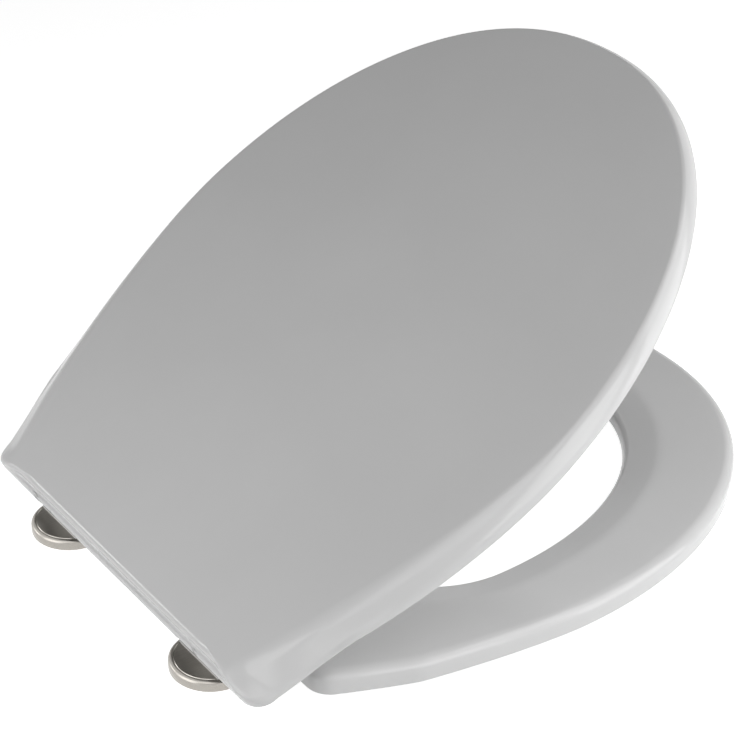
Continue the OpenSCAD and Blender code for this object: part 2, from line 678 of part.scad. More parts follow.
lid();
ring();
gasket(-1);  // gasket_left
gasket(1);  // gasket_right
hinge_base(-1);  // hinge_base_left
hinge_base(1);  // hinge_base_right
cover_disc(-1);  // cover_disc_left
cover_disc(1);  // cover_disc_right
pillar(-1);  // pillar_left
pillar(1);  // pillar_right
pin(-1);  // pin_left
pin(1);  // pin_right
sleeve(-1, inner_sleeve_in, pillar_in);  // inner_sleeve_left
sleeve(1, inner_sleeve_in, pillar_in);  // inner_sleeve_right
sleeve(-1, pillar_out, outer_sleeve_out);  // outer_sleeve_left
sleeve(1, pillar_out, outer_sleeve_out);  // outer_sleeve_right
grub_screw(-1);  // grub_screw_left
grub_screw(1);  // grub_screw_right
bush(-1, ring_lug_in, ring_lug_out, true);  // ring_bush_left
bush(1, ring_lug_in, ring_lug_out, true);  // ring_bush_right
bush(-1, lid_lug_in, lid_lug_out, false);  // lid_bush_left
bush(1, lid_lug_in, lid_lug_out, false);  // lid_bush_right
ring_buffer(-1, buffer_front_y);  // ring_buffer_front_left
ring_buffer(1, buffer_front_y);  // ring_buffer_front_right
ring_buffer(-1, buffer_rear_y);  // ring_buffer_rear_left
ring_buffer(1, buffer_rear_y);  // ring_buffer_rear_right
lid_buffer(-1, buffer_front_y);  // lid_buffer_front_left
lid_buffer(1, buffer_front_y);  // lid_buffer_front_right
lid_buffer(-1, buffer_rear_y);  // lid_buffer_rear_left
lid_buffer(1, buffer_rear_y);  // lid_buffer_rear_right
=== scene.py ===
# %% [markdown]
# A white D-shaped toilet seat, lid half open, on two round stainless hinge bases.
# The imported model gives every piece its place, its size and the body it moves with. This file gives
# the pieces their finish, and builds the moulded shells again from the same formulas with many more
# points, because a glossy white surface shows every facet in its highlights.

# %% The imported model
import math

import bmesh
import bpy
import numpy as np
from mathutils import Matrix, Vector


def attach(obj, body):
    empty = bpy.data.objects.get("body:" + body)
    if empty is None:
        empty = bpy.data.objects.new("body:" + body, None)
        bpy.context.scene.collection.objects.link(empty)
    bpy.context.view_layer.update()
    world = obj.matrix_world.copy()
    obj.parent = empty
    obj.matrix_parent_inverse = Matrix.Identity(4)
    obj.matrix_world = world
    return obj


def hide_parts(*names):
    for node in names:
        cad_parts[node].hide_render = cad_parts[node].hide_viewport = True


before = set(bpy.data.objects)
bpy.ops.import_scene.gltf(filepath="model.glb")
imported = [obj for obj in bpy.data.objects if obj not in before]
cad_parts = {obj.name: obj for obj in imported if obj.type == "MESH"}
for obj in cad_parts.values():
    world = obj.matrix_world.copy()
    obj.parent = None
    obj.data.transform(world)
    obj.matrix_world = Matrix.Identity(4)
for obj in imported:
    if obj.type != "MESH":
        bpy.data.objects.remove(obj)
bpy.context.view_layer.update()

MM = 0.001
print("nodes:", len(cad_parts))

# %% [markdown]
# The sizes below are the driving sizes of the moulded shells, in millimetres. The outline of the lid
# is one formula: a straight rear edge, small rear corners, sides that widen along a power curve, and
# a front arc that is a little squarer than an ellipse. The ring uses the same outline, drawn in by
# the lid's wall and a gap, so that the lid can wrap over it.

# %% Sizes of the shells
LID_W = 376.0
LID_FRONT = 414.5
LID_REAR = 16.5
LID_WIDEST = 184.3
LID_REAR_W = 300.0
LID_CORNER_R = 14.0
SIDE_POWER = 1.545
FRONT_POWER_X = 2.134
FRONT_POWER_Y = 2.05
PANEL_FRONT_Z = 32.0
PANEL_REAR_Z = 40.0
PANEL_T = 4.5
LID_WALL = 2.6
SHOULDER_FRONT = 5.0
SHOULDER_SIDE = 9.0
SHOULDER_REAR = 35.0
SHOULDER_END_Y = 215.0
SHOULDER_BEND = 12.0
EDGE_DROP = 4.8
PANEL_MIDDLE_Y = 160.0
UNDER_ROUND = 4.5
UNDER_Z = 26.5
CREASE_FRONT_Z = 27.0
CREASE_REAR_Z = 30.6
CREASE_IN_FRONT = 3.5
CREASE_IN_REAR = 7.0
RIM_FRONT_Z = 18.5
RIM_REAR_Z = 27.6
RIM_IN_REAR = 5.7
CORNER_DIP = 3.0
REAR_WALL_Z = 29.3
KNUCKLE_Z = 26.5
RIM_RISE_Y = 170.4
RIM_HIGH_Y = 45.0
REAR_ROUND = 7.0
REAR_EDGE_W = 9.0
REAR_CREASE_IN = 4.4
REAR_CREASE_DROP = 3.4
REAR_BULGE_H = 4.4
REAR_BULGE_END = 0.93
REAR_GROOVE = 3.0
CORNER_CREASE_IN = 0.6
CORNER_FADE_X = 106.0
LID_OPEN = 35.0
AXIS_Z = 26.0
WRAP_GAP = 0.8
RING_BOTTOM_Z = 11.3
RING_TOP_Z = 26.0
RING_ROUND_W = 8.0
RING_ROUND_H = 6.0
BAND_SIDE = 60.0
BAND_FRONT = 70.0
RING_REAR_Y = 24.5
RING_SCALLOP_Y = 37.5
HOLE_REAR_Y = 77.0
HOLE_SHIFT = 40.0
HOLE_POWER = 2.05
RING_CORNER_R = 16.0
RING_DRAW_Y = 80.0
RING_DRAW_IN = 10.0
RING_T = 4.6
RING_WALL = 3.4
SLOPE_W = 23.0
SLOPE_DROP = 4.4
LIP_W = 5.0
LIP_H = 7.5
FIXING_X = 80.0
DISC_D = 49.0
PILLAR_W = 16.0
print("lid", LID_W, "x", LID_FRONT + LID_REAR, "mm")

# %% [markdown]
# A shell is a stack of closed loops. Each loop has the same stations: places along the rear edge,
# round the corner, up the side and round the front. A station keeps its place in every loop, so the
# loops join into clean quads, which is what a smooth highlight needs.

# %% Stations round the outline
REAR, CORNER, SIDE, FRONT = range(4)


def mix(a, b, t):
    return a + (b - a) * t


def clamp01(t):
    return min(max(t, 0.0), 1.0)


def ease(t):
    t = clamp01(t)
    return t * t * (3 - 2 * t)


def stations(rear_xs, corner_steps=10, side_steps=54, front_steps=90):
    half = [(REAR, x) for x in rear_xs]
    half += [(CORNER, -90 + 90 * k / corner_steps) for k in range(corner_steps)]
    half += [(SIDE, k / side_steps) for k in range(side_steps)]
    half += [(FRONT, 90 * k / front_steps) for k in range(front_steps + 1)]
    return half


def side_x(y):
    """Half width of the lid's side at a distance y in front of the hinge axis."""
    t = (LID_WIDEST - y) / (LID_WIDEST + LID_REAR)
    return (LID_W - (LID_W - LID_REAR_W) * t ** SIDE_POWER) / 2


def plan_point(station, side_in, rear_y, corner_r, rear_scale):
    zone, place = station
    start_y = rear_y + corner_r
    if zone == REAR:
        return place * rear_scale, rear_y
    if zone == CORNER:
        angle = math.radians(place)
        x = side_x(start_y) - side_in - corner_r
        return x + corner_r * math.cos(angle), start_y + corner_r * math.sin(angle)
    if zone == SIDE:
        y = mix(start_y, LID_WIDEST, place)
        return side_x(y) - side_in, y
    angle = math.radians(place)
    across = max(math.cos(angle), 0.0) ** (2 / FRONT_POWER_X)
    along = math.sin(angle) ** (2 / FRONT_POWER_Y)
    return (LID_W / 2 - side_in) * across, LID_WIDEST + (LID_FRONT - side_in - LID_WIDEST) * along


print("stations on half a loop:", len(stations([0.0])))

# %% [markdown]
# From loops to a mesh: the half loops are mirrored, and each pair of neighbouring loops is joined by
# a band of quads. A lid shell is closed by a cap on its first and its last loop, and a ring shell by
# joining its last loop to its first.

# %% Loops to meshes
def full_loop(half):
    mirrored = [(-x, y, z) for x, y, z in reversed(half[1:-1])]
    return list(half) + mirrored


def shell_mesh(name, half_loops, ring=False):
    loops = [full_loop(h) for h in half_loops]
    n = len(loops[0])
    points = [p for loop in loops for p in loop]
    faces = []
    for k in range(len(loops) if ring else len(loops) - 1):
        a, b = k * n, ((k + 1) % len(loops)) * n
        faces += [(a + j, a + (j + 1) % n, b + (j + 1) % n, b + j) for j in range(n)]
    if not ring:
        faces += [tuple(reversed(range(n))), tuple((len(loops) - 1) * n + j for j in range(n))]
    mesh = bpy.data.meshes.new(name)
    mesh.from_pydata([(x * MM, y * MM, z * MM) for x, y, z in points], [], faces)
    return finish_mesh(name, mesh)


def finish_mesh(name, mesh):
    """Turns the faces outwards, shades them smooth and makes the object."""
    bm = bmesh.new()
    bm.from_mesh(mesh)
    bmesh.ops.recalc_face_normals(bm, faces=bm.faces)
    bm.to_mesh(mesh)
    bm.free()
    mesh.shade_smooth()
    obj = bpy.data.objects.new(name, mesh)
    bpy.context.scene.collection.objects.link(obj)
    return obj


def on_hinge(obj, angle):
    """Turns a closed piece about the hinge axis, in its mesh."""
    axis = Matrix.Translation((0, 0, AXIS_Z * MM))
    obj.data.transform(axis @ Matrix.Rotation(math.radians(angle), 4, "X") @ axis.inverted())
    return obj


# %% [markdown]
# The lid's section at a station: a slightly crowned panel, a shoulder that falls to a crease, a thin
# wall down to the rim, and the same path back inside. The shoulder is narrow at the front and wide at
# the rear corners. The rear edge has a rounded bead and a groove below it instead, and the rearness
# of a station blends the two sections round the corner.

# %% Lid section
NOTCH_IN = FIXING_X - PILLAR_W / 2 - 1.5
NOTCH_OUT = FIXING_X + PILLAR_W / 2 + 1.5
NOTCH_Z = PANEL_REAR_Z - REAR_ROUND + 0.2


def rise(y):
    return clamp01((RIM_RISE_Y - y) / (RIM_RISE_Y + LID_REAR)) ** 1.2


def rim_rise(y):
    """Rise of the lower edge: it is highest over the rear of the ring, and dips again to the corner."""
    return clamp01((RIM_RISE_Y - y) / (RIM_RISE_Y - RIM_HIGH_Y)) ** 2.1


def rim_in(y):
    """How far the lid's lower edge stands inside the outline: nothing at the front, most at the rear."""
    return RIM_IN_REAR * rise(y) ** 1.8


def corner_middle(rear_in, side_in, corner_r):
    """X of the middle of the rear corner's arc."""
    return side_x(rear_in + corner_r - LID_REAR) - side_in - corner_r


lid_corner_x = corner_middle(0, RIM_IN_REAR, LID_CORNER_R)


def rearness(station):
    zone, place = station
    if zone == REAR:
        return 1.0
    return 1 - ease((place + 90) / 90) if zone == CORNER else 0.0


def panel_z(y):
    return mix(PANEL_FRONT_Z, PANEL_REAR_Z, (LID_FRONT - y) / (LID_FRONT + LID_REAR))


def lid_base_y(station):
    return plan_point(station, 0, -LID_REAR, LID_CORNER_R, 1)[1]


def over_pillar(station):
    return station[0] == REAR and NOTCH_IN - 0.1 < station[1] < NOTCH_OUT + 0.1


def rim_z(station):
    """Height of the lower edge: notched over the pillars, a little lower outside the hinges."""
    if over_pillar(station):
        return NOTCH_Z
    if station[0] == REAR and station[1] < NOTCH_IN:
        return REAR_WALL_Z
    y = lid_base_y(station)
    side = mix(RIM_FRONT_Z, RIM_REAR_Z, rim_rise(y)) - CORNER_DIP * ease((35 - y) / 45)
    return mix(side, KNUCKLE_Z, rearness(station))


def rear_mix(station, middle, corner):
    """A value of the rear edge, which changes over to its value at the corner near the end."""
    if station[0] != REAR:
        return corner
    return mix(middle, corner, ease((station[1] - CORNER_FADE_X) / (lid_corner_x - CORNER_FADE_X)))


def crease_z(station):
    side = mix(CREASE_FRONT_Z, CREASE_REAR_Z, rise(lid_base_y(station)))
    return mix(side, PANEL_REAR_Z - rear_mix(station, REAR_CREASE_DROP, REAR_ROUND), rearness(station))


def shoulder_w(y):
    side = mix(SHOULDER_FRONT, SHOULDER_SIDE, clamp01((LID_FRONT - y) / (LID_FRONT - LID_WIDEST)))
    t = clamp01((SHOULDER_END_Y - y) / (SHOULDER_END_Y + LID_REAR))
    return side + (SHOULDER_REAR - SHOULDER_SIDE) * t ** 1.5


def edge_drop(y):
    """The panel is slightly crowned: how far its edge lies below its middle plane."""
    return EDGE_DROP * ease((y - 10) / 190)


def side_swell(y, u):
    """Share of the shoulder's height at u: a straight slope that bends into the panel."""
    straight = max(0.0, 1 - SHOULDER_BEND / (shoulder_w(y) - crease_in(y)))
    slope = 2 / (1 + straight)
    return slope * u if u < straight else 1 - slope * (1 - u) ** 2 / (2 * (1 - straight))


def lid_skin(station, u, least_in=0.0):
    """Point of the skin: u runs from 0 at the crease to 1 at the panel."""
    base_y = lid_base_y(station)
    side_in = mix(crease_in(base_y), shoulder_w(base_y), u)
    side_in = max(side_in, crease_in(base_y) + least_in)
    rear_in = mix(rear_mix(station, REAR_CREASE_IN, CORNER_CREASE_IN),
                  rear_mix(station, REAR_EDGE_W, REAR_ROUND), u)
    corner_r = LID_CORNER_R - rear_in
    scale = corner_middle(rear_in, side_in, corner_r) / lid_corner_x
    x, y = plan_point(station, side_in, rear_in - LID_REAR, corner_r, scale)
    swell = mix(side_swell(base_y, u), math.sqrt(1 - (1 - u) ** 2), rearness(station))
    reach = 1 + (shoulder_w(base_y) - side_in) / (LID_W / 2)
    return x, y, mix(crease_z(station), panel_z(y) - edge_drop(base_y) * reach ** 2, swell)


def lowered(point, depth):
    """The underside below a point of the skin, kept just clear of the ring."""
    x, y, z = point
    return x, y, max(z - depth, min(UNDER_Z, z - 1.6))


def panel_point(station, reach, edge):
    """Point of the crowned panel, at a share of the way from its middle to its edge."""
    x, y = edge[0] * reach, mix(PANEL_MIDDLE_Y, edge[1], reach)
    return x, y, panel_z(y) - edge_drop(lid_base_y(station)) * reach ** 2


def lid_under(station, u):
    """Point of the underside below the skin, kept clear of the inner wall."""
    return lowered(lid_skin(station, u, LID_WALL + UNDER_ROUND * u), mix(3.6, PANEL_T, u))


def crease_in(y):
    return mix(CREASE_IN_FRONT, CREASE_IN_REAR, rise(y))


def rear_lean(station, below):
    """How far the rear wall leans in at a depth below its crease: a rounded bead under the crease."""
    q = REAR_BULGE_END * clamp01(1 - below / REAR_BULGE_H)
    share = (1 - math.sqrt(1 - q * q)) / (1 - math.sqrt(1 - REAR_BULGE_END ** 2))
    return rear_mix(station, REAR_CREASE_IN, CORNER_CREASE_IN) * share


def wall_point(station, inset, v):
    """Point of the bulging wall: v is 0 at the lower edge and 1 at the crease."""
    base_y, top = lid_base_y(station), crease_z(station)
    z = mix(rim_z(station), top, v)
    lean = (crease_in(base_y) - rim_in(base_y)) * min(v, 1.0) ** 2
    side_in, rear_in = rim_in(base_y) + inset + lean, inset + rear_lean(station, top - z)
    corner_r = LID_CORNER_R - rear_in
    scale = corner_middle(rear_in, side_in, corner_r) / lid_corner_x
    x, y = plan_point(station, side_in, rear_in - LID_REAR, corner_r, scale)
    return x, y, z


def bend(a, b, c, steps):
    """Points of a curve that leaves a towards b and arrives at c from b."""
    points = []
    for k in range(steps + 1):
        t = k / steps
        points.append(tuple(mix(mix(p, q, t), mix(q, r, t), t) for p, q, r in zip(a, b, c)))
    return points


PANEL_REACHES = [0.04, 0.12, 0.24, 0.38, 0.52, 0.66, 0.8, 0.91]


def lid_section(station):
    """All points of the section, from the middle of the top round the rim to the middle below."""
    w = rearness(station)
    height = crease_z(station) - rim_z(station)
    edge = min(0.6, height / 3)
    v_edge = edge / height
    crest = 0.05
    panel_edge = lid_skin(station, 1)
    points = [panel_point(station, reach, panel_edge) for reach in PANEL_REACHES]
    points += [lid_skin(station, u) for u in [crest + (1 - crest) * (1 - k / 26) ** 1.5 for k in range(26)]]
    v_top = 1 - min(1.0, height / 3) / height
    x, y, z = wall_point(station, 0, 1)
    crease = x, y, z - rear_mix(station, REAR_GROOVE, 0.0)
    points += bend(lid_skin(station, crest), crease, wall_point(station, 0, v_top), 6)
    points += [wall_point(station, 0, mix(v_top, v_edge, k / 10)) for k in range(1, 10)]
    points += bend(wall_point(station, 0, v_edge), wall_point(station, 0, 0), wall_point(station, edge, 0), 3)
    points += bend(wall_point(station, LID_WALL - edge, 0), wall_point(station, LID_WALL, 0),
                   wall_point(station, LID_WALL, v_edge), 3)
    under_z = lowered(lid_skin(station, mix(0.15, 0.35, w)), 3.4)[2]
    v_in = (under_z - rim_z(station)) / height
    first = lid_under(station, mix(0.5, 0.6, w))
    points += [wall_point(station, LID_WALL, v_in * k / 4) for k in (2, 3)]
    points += bend(wall_point(station, LID_WALL, v_in - min(0.8, height / 3) / height),
                   wall_point(station, LID_WALL, v_in), first, 5)
    points += [lid_under(station, u) for u in (0.75, 0.9, 1.0)]
    under_edge = points[-1]
    points += [lowered(panel_point(station, reach, under_edge), PANEL_T) for reach in PANEL_REACHES[::-1]]
    return points


def spaced(stops, most):
    """Places from the first stop to the last, with every stop kept and no step longer than most."""
    places = []
    for a, b in zip(stops, stops[1:]):
        count = max(1, math.ceil((b - a) / most))
        places += [mix(a, b, k / count) for k in range(count)]
    return places + [stops[-1]]


def shell_from_sections(name, half_stations, section, ring=False):
    sections = [section(s) for s in half_stations]
    loops = [[s[k] for s in sections] for k in range(len(sections[0]))]
    return shell_mesh(name, loops, ring)


STEP = 0.2
lid_rear_xs = spaced([0, NOTCH_IN - STEP, NOTCH_IN, NOTCH_OUT, NOTCH_OUT + STEP, lid_corner_x], 5.0)[:-1]
lid_shell = on_hinge(shell_from_sections("lid_shell", stations(lid_rear_xs), lid_section), LID_OPEN)
print("lid shell:", len(lid_shell.data.polygons), "faces")

# %% [markdown]
# The ring's section goes up the outer wall, over a soft rounding, across a gently rising face to a
# ridge, down a slope to the hole, and back along the open underside. A few control points give the
# section, and a smooth curve through them gives the rest.

# %% Ring section
RING_INSET = LID_WALL + WRAP_GAP
SCALLOP_IN = FIXING_X - DISC_D / 2 - 2
SCALLOP_OUT = FIXING_X + DISC_D / 2 + 2
RAMP = 6.0
HALF_HOLE_W = LID_W / 2 - RING_INSET - BAND_SIDE
HOLE_FRONT_Y = LID_FRONT - RING_INSET - BAND_FRONT
HOLE_Y = (HOLE_REAR_Y + HOLE_FRONT_Y) / 2 - HOLE_SHIFT
RING_LEAN = math.radians(23.7)


def ring_draw(y):
    """How far the ring's side stands inside the lid's wall: it draws in towards the rear corner."""
    return RING_INSET + RING_DRAW_IN * clamp01((RING_DRAW_Y - y) / (RING_DRAW_Y - RING_REAR_Y)) ** 1.15


def ring_corner_middle(inset, corner_r):
    """X of the middle of the corner's arc, which ends where it has the slope of the side."""
    y = RING_REAR_Y + inset + corner_r * (1 - math.sin(RING_LEAN))
    return side_x(y) - ring_draw(y) - inset - corner_r * math.cos(RING_LEAN)


ring_corner_x = ring_corner_middle(0, RING_CORNER_R)


def ring_edge_y(x):
    inner = ease((x - SCALLOP_IN + RAMP) / RAMP)
    outer = ease((SCALLOP_OUT + RAMP - x) / RAMP)
    return mix(RING_REAR_Y, RING_SCALLOP_Y, inner * outer)


def ring_outer(station, inset, z):
    zone, place = station
    corner_r = max(RING_CORNER_R - inset, 2.0)
    middle, start_y = ring_corner_middle(inset, corner_r), RING_REAR_Y + inset + corner_r
    if zone == REAR:
        return place * middle / ring_corner_x, ring_edge_y(place) + inset, z
    if zone == CORNER:
        angle = mix(-math.pi / 2, -RING_LEAN, (place + 90) / 90)
        return middle + corner_r * math.cos(angle), start_y + corner_r * math.sin(angle), z
    if zone == SIDE:
        y = mix(start_y - corner_r * math.sin(RING_LEAN), LID_WIDEST, place)
        return side_x(y) - ring_draw(y) - inset, y, z
    x, y = plan_point(station, RING_INSET + inset, 0, 0, 1)
    return x, y, z


def ring_hole(station, out, z):
    x, y, _ = ring_outer(station, 0, 0)
    angle = math.atan2((RING_REAR_Y if station[0] == REAR else y) - HOLE_Y, x)
    half_l = (HOLE_FRONT_Y - HOLE_Y if y > HOLE_Y else HOLE_Y - HOLE_REAR_Y) + out
    half_w = HALF_HOLE_W + out
    sharp = (abs(math.cos(angle)) / half_w) ** HOLE_POWER + (abs(math.sin(angle)) / half_l) ** HOLE_POWER
    r = sharp ** (-1 / HOLE_POWER)
    return r * math.cos(angle), HOLE_Y + r * math.sin(angle), z


def ring_across(station, t, z):
    a, b = ring_outer(station, RING_ROUND_W, z), ring_hole(station, SLOPE_W, z)
    return mix(a[0], b[0], t), mix(a[1], b[1], t), z


def smooth_path(points, per_span):
    """A curve through the points, with a set number of steps between each two."""
    pts = [np.array(p, float) for p in points]
    pts = [2 * pts[0] - pts[1]] + pts + [2 * pts[-1] - pts[-2]]
    out = []
    for p0, p1, p2, p3 in zip(pts, pts[1:], pts[2:], pts[3:]):
        d0, d1, d2 = (max(np.linalg.norm(b - a), 1e-6) ** 0.5 for a, b in ((p0, p1), (p1, p2), (p2, p3)))
        m1 = (p2 - p1) + d1 * ((p1 - p0) / d0 - (p2 - p0) / (d0 + d1))
        m2 = (p2 - p1) + d1 * ((p3 - p2) / d2 - (p3 - p1) / (d1 + d2))
        for k in range(per_span):
            t = k / per_span
            a = p1 * (2 * t ** 3 - 3 * t ** 2 + 1) + m1 * (t ** 3 - 2 * t ** 2 + t)
            out.append(tuple(a + p2 * (3 * t ** 2 - 2 * t ** 3) + m2 * (t ** 3 - t ** 2)))
    return out + [tuple(pts[-2])]


CROWN = 0.5
SLOPE_POWER = 1.15


def ring_section(station):
    top, low = RING_TOP_Z, RING_BOTTOM_Z
    side_z, side_rise = top - RING_ROUND_H, RING_ROUND_H - CROWN
    slope_end = top - SLOPE_DROP
    outer = lambda inset, z: ring_outer(station, inset, z)
    hole = lambda out, z: ring_hole(station, out, z)
    foot = bend(outer(0.8, low), outer(0, low), outer(0, low + 0.8), 4)
    over = [outer(0, low + 2), outer(0, (low + side_z) / 2)]
    for degrees in (0, 15, 30, 45, 60, 75):
        a = math.radians(degrees)
        over.append(outer(RING_ROUND_W * (1 - math.cos(a)), side_z + side_rise * math.sin(a)))
    over += [ring_across(station, t, top - CROWN * c) for t, c in ((0, 1), (0.5, 0.3), (0.8, 0.05), (0.94, 0))]
    over += [hole(mix(SLOPE_W, LIP_W, t), top - SLOPE_DROP * t ** SLOPE_POWER) for t in (0.1, 0.3, 0.55, 0.85, 1)]
    for degrees in (20, 40, 60, 80):
        a = math.radians(degrees)
        over.append(hole(LIP_W * (1 - math.sin(a)), slope_end - LIP_H * (1 - math.cos(a))))
    over = smooth_path(over + [hole(0, low + 2)], 4)
    lip = bend(hole(0, low + 1.6), hole(0, low + 0.8), hole(0.8, low + 0.8), 4)
    lip += bend(hole(RING_WALL - 0.6, low + 0.8), hole(RING_WALL, low + 0.8), hole(RING_WALL, low + 1.4), 3)
    channel_z = top - RING_T
    inner_z = slope_end - RING_T
    below = bend(hole(RING_WALL, inner_z - 2.5), hole(RING_WALL, inner_z),
                 hole(RING_WALL + 4, inner_z + 0.8), 5)
    below += [hole(SLOPE_W, channel_z)]
    below += bend(outer(RING_WALL + 6, channel_z), outer(RING_WALL, channel_z),
                  outer(RING_WALL, channel_z - 5), 5)
    below += bend(outer(RING_WALL, low + 0.6), outer(RING_WALL, low), outer(RING_WALL - 0.6, low), 3)
    return foot + over + lip + below


ring_stops = [0, SCALLOP_IN - RAMP, SCALLOP_IN, SCALLOP_OUT, SCALLOP_OUT + RAMP, ring_corner_x]
ring_stations = stations(spaced(ring_stops, 3.0)[:-1], corner_steps=16)
ring_shell = shell_from_sections("ring_shell", ring_stations, ring_section, ring=True)
print("ring shell:", len(ring_shell.data.polygons), "faces")

# %% [markdown]
# The shells stand for the lid and ring of the imported model. What those have besides the shell, the
# lugs with their bores, is added as its own small pieces.

# %% Lugs
def tube_x(name, x_from, x_to, outer, inner, segments=96):
    """A tube on the hinge axis, with small chamfers on its outer edges."""
    edge = 0.5
    profile = [(x_from, inner), (x_from, outer - edge), (x_from + edge, outer), (x_to - edge, outer),
               (x_to, outer - edge), (x_to, inner)]
    return lathe(name, profile, segments, lambda a, r, c, s: (a, r * c, AXIS_Z + r * s))


def lathe(name, profile, segments, place, closed=True):
    """Turns a closed profile of (along, radius) points about an axis that place() gives."""
    points, faces, m = [], [], len(profile)
    for j in range(segments):
        angle = 2 * math.pi * j / segments
        points += [place(a, r, math.cos(angle), math.sin(angle)) for a, r in profile]
    for j in range(segments):
        a, b = j * m, ((j + 1) % segments) * m
        faces += [(a + k, a + (k + 1) % m, b + (k + 1) % m, b + k) for k in range(m if closed else m - 1)]
    mesh = bpy.data.meshes.new(name)
    mesh.from_pydata([(x * MM, y * MM, z * MM) for x, y, z in points], [], faces)
    obj = finish_mesh(name, mesh)
    by_angle(obj, 35)
    return obj


def by_angle(obj, degrees):
    """Keeps edges sharper than the angle crisp."""
    obj.data.set_sharp_from_angle(angle=math.radians(degrees))


def block(name, low, high, edge=0.8):
    """A block between two corners with rounded edges."""
    bm = bmesh.new()
    bmesh.ops.create_cube(bm, size=1)
    size = [b - a for a, b in zip(low, high)]
    for v in bm.verts:
        v.co = Vector([(a + s * (c + 0.5)) * MM for a, s, c in zip(low, size, v.co)])
    bmesh.ops.bevel(bm, geom=bm.edges[:], offset=edge * MM, segments=3, affect="EDGES")
    mesh = bpy.data.meshes.new(name)
    bm.to_mesh(mesh)
    bm.free()
    obj = finish_mesh(name, mesh)
    by_angle(obj, 35)
    return obj


BARREL_R = 8.5
BUSH_BORE_R = 6.03
RING_LUG = (31.7, 49.7)
LID_LUG = (108.3, 132.3)
lugs = {"lid": [], "ring": []}
for side, sign in (("left", -1), ("right", 1)):
    x0, x1 = sorted((sign * LID_LUG[0], sign * LID_LUG[1]))
    lugs["lid"] += [on_hinge(tube_x(f"lid_lug_{side}", x0, x1, BARREL_R, BUSH_BORE_R), LID_OPEN)]
    web = block(f"lid_web_{side}", (x0, -BARREL_R, AXIS_Z + 6.2), (x1, BARREL_R, 36.5))
    lugs["lid"] += [on_hinge(web, LID_OPEN)]
    x0, x1 = sorted((sign * RING_LUG[0], sign * RING_LUG[1]))
    lugs["ring"] += [tube_x(f"ring_lug_{side}", x0, x1, BARREL_R, BUSH_BORE_R)]
    neck_end = (x1, RING_REAR_Y + 4, AXIS_Z - 1.5)
    lugs["ring"] += [block(f"ring_neck_{side}", (x0, 6.2, AXIS_Z - BARREL_R), neck_end)]
print("lug pieces:", sum(len(v) for v in lugs.values()))

# %% [markdown]
# The cover disc is a pressed steel cup: a flat top, a rounded edge and a short wall. It is turned
# from its own section, with many steps on the rounding, because the bright band on that edge is what
# the eye reads as metal.

# %% Cover discs
DISC_H = 7.0
DISC_ROUND = 2.4
DISC_SHEET = 1.0
SPIGOT_GAP_R = 6.3
GROOVE_R = DISC_D / 2 - 3.0
discs = []
for side, sign in (("left", -1), ("right", 1)):
    r = DISC_D / 2
    centre = (r - DISC_ROUND, DISC_H - DISC_ROUND)
    arc = [(centre[1] + DISC_ROUND * math.sin(a), centre[0] + DISC_ROUND * math.cos(a))
           for a in [math.radians(90 * k / 12) for k in range(13)]]
    inner_r = DISC_ROUND - DISC_SHEET
    inner = [(centre[1] + inner_r * math.sin(a), centre[0] + inner_r * math.cos(a))
             for a in [math.radians(90 - 90 * k / 8) for k in range(9)]]
    profile = [(0.5, r - 0.1), (0.7, r)] + arc
    profile += [(DISC_H, GROOVE_R + 0.4), (DISC_H - 0.4, GROOVE_R), (DISC_H, GROOVE_R - 0.4)]
    profile += [(DISC_H, SPIGOT_GAP_R), (DISC_H - DISC_SHEET, SPIGOT_GAP_R)]
    profile += inner + [(0.3, r - DISC_SHEET), (0.3, r - 0.3)]
    disc = lathe(f"cover_{side}", profile, 160, lambda a, q, c, s: (sign * FIXING_X + q * c, q * s, a))
    discs.append(disc)
print("disc faces:", len(discs[0].data.polygons))

# %% [markdown]
# Materials are node graphs. The shell is a dense glossy plastic: nearly white, a faint unevenness in
# its colour, and a very low, wide waviness that breaks long reflections as real mouldings do.

# %% Material helpers
def new_material(name):
    mat = bpy.data.materials.new(name)
    mat.use_nodes = True
    nodes, links = mat.node_tree.nodes, mat.node_tree.links
    shader = nodes["Principled BSDF"]
    return mat, nodes, links, shader


def noise(nodes, links, scale, detail, coords="Object", roughness=0.5, stretch=(1, 1, 1)):
    """A noise texture on the piece's own coordinates."""
    where = nodes.new("ShaderNodeTexCoord")
    mapping = nodes.new("ShaderNodeMapping")
    mapping.inputs["Scale"].default_value = stretch
    texture = nodes.new("ShaderNodeTexNoise")
    texture.inputs["Scale"].default_value = scale
    texture.inputs["Detail"].default_value = detail
    texture.inputs["Roughness"].default_value = roughness
    links.new(where.outputs[coords], mapping.inputs["Vector"])
    links.new(mapping.outputs["Vector"], texture.inputs["Vector"])
    return texture.outputs["Fac"]


def ramp(nodes, links, source, low, high):
    """Maps a 0 to 1 value onto a colour or grey between two ends."""
    node = nodes.new("ShaderNodeValToRGB")
    node.color_ramp.elements[0].position = 0.3
    node.color_ramp.elements[1].position = 0.7
    node.color_ramp.elements[0].color = (*low, 1)
    node.color_ramp.elements[1].color = (*high, 1)
    links.new(source, node.inputs["Fac"])
    return node.outputs["Color"]


def spread(nodes, links, source, low, high):
    node = nodes.new("ShaderNodeMapRange")
    node.inputs["To Min"].default_value = low
    node.inputs["To Max"].default_value = high
    links.new(source, node.inputs["Value"])
    return node.outputs["Result"]


def bump(nodes, links, source, strength, distance):
    node = nodes.new("ShaderNodeBump")
    node.inputs["Strength"].default_value = strength
    node.inputs["Distance"].default_value = distance
    links.new(source, node.inputs["Height"])
    return node.outputs["Normal"]


